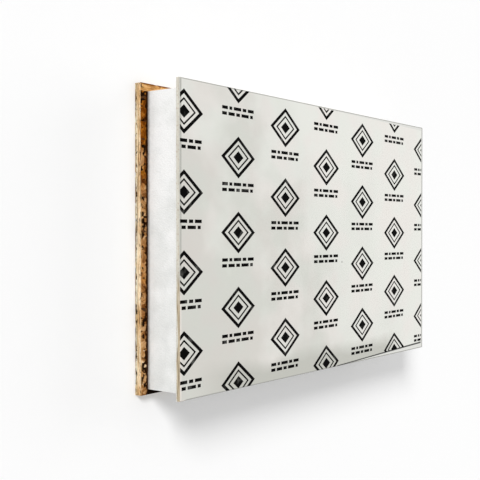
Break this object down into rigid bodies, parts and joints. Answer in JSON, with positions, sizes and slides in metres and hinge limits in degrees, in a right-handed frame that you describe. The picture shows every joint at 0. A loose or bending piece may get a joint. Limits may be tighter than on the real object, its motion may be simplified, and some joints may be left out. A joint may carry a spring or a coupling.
{
  "type": "structural insulated panel",
  "caption": "Flat sandwich panel: strand board, white foam core set back from the edges to leave a groove all round, and a thin face board printed in black.",
  "frame": {"origin": "middle of the underside, which is the strand board's outer face", "axes": "+X along the panel's length, +Y across its width towards the deeper long groove, +Z out of the printed face"},
  "size_m": [1, 0.6, 0.114],
  "materials": {
    "osb_board": "pressed softwood strands, sawn edges",
    "foam_core": "hot-wire cut expanded polystyrene beads",
    "face_board": "fibre cement board with a smooth off-white printed film",
    "print_ink": "black ink printed on the film"
  },
  "bodies": {
    "root": {"osb_board": "osb_board", "foam_core": "foam_core", "face_board": "face_board"}
  },
  "joints": []
}
